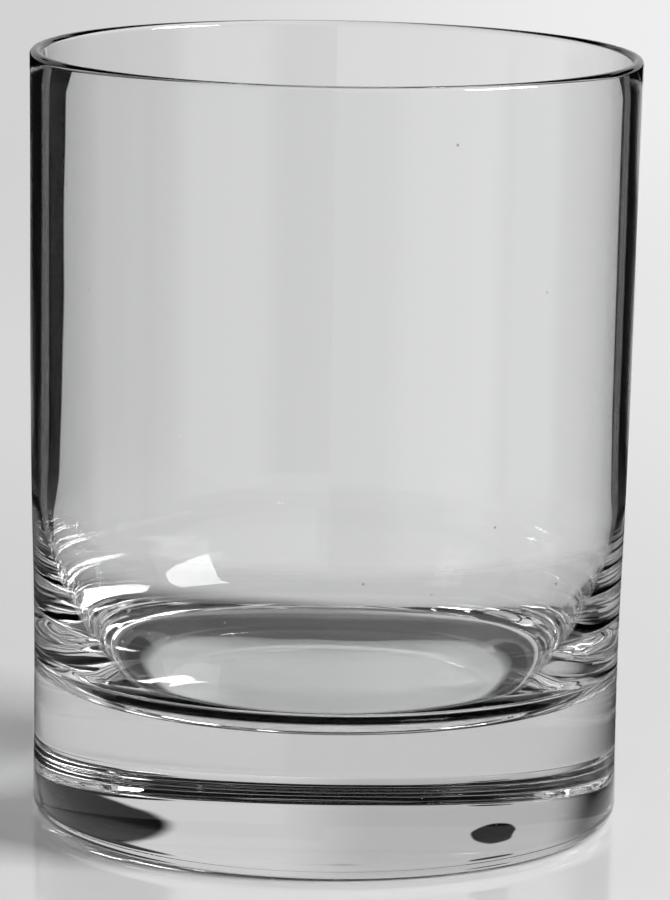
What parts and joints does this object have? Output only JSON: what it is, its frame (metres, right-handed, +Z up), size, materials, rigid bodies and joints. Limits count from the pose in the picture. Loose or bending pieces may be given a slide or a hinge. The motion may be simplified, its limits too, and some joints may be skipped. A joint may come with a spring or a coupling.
{
  "type": "double old fashioned glass",
  "caption": "Straight-sided clear glass tumbler with a thin upright wall, a fire-polished rim, a rounded well and a heavy solid base, for spirits and mixed drinks.",
  "frame": {"origin": "on the table, in the middle of the ring that the glass stands on", "axes": "+Z up along the axis of the glass, from the base to the rim; X and Y level, with no front"},
  "size_m": [0.0828, 0.0828, 0.105],
  "materials": {
    "clear_glass": "clear fire-polished soda-lime glass"
  },
  "bodies": {
    "root": {"tumbler": "clear_glass"}
  },
  "joints": []
}
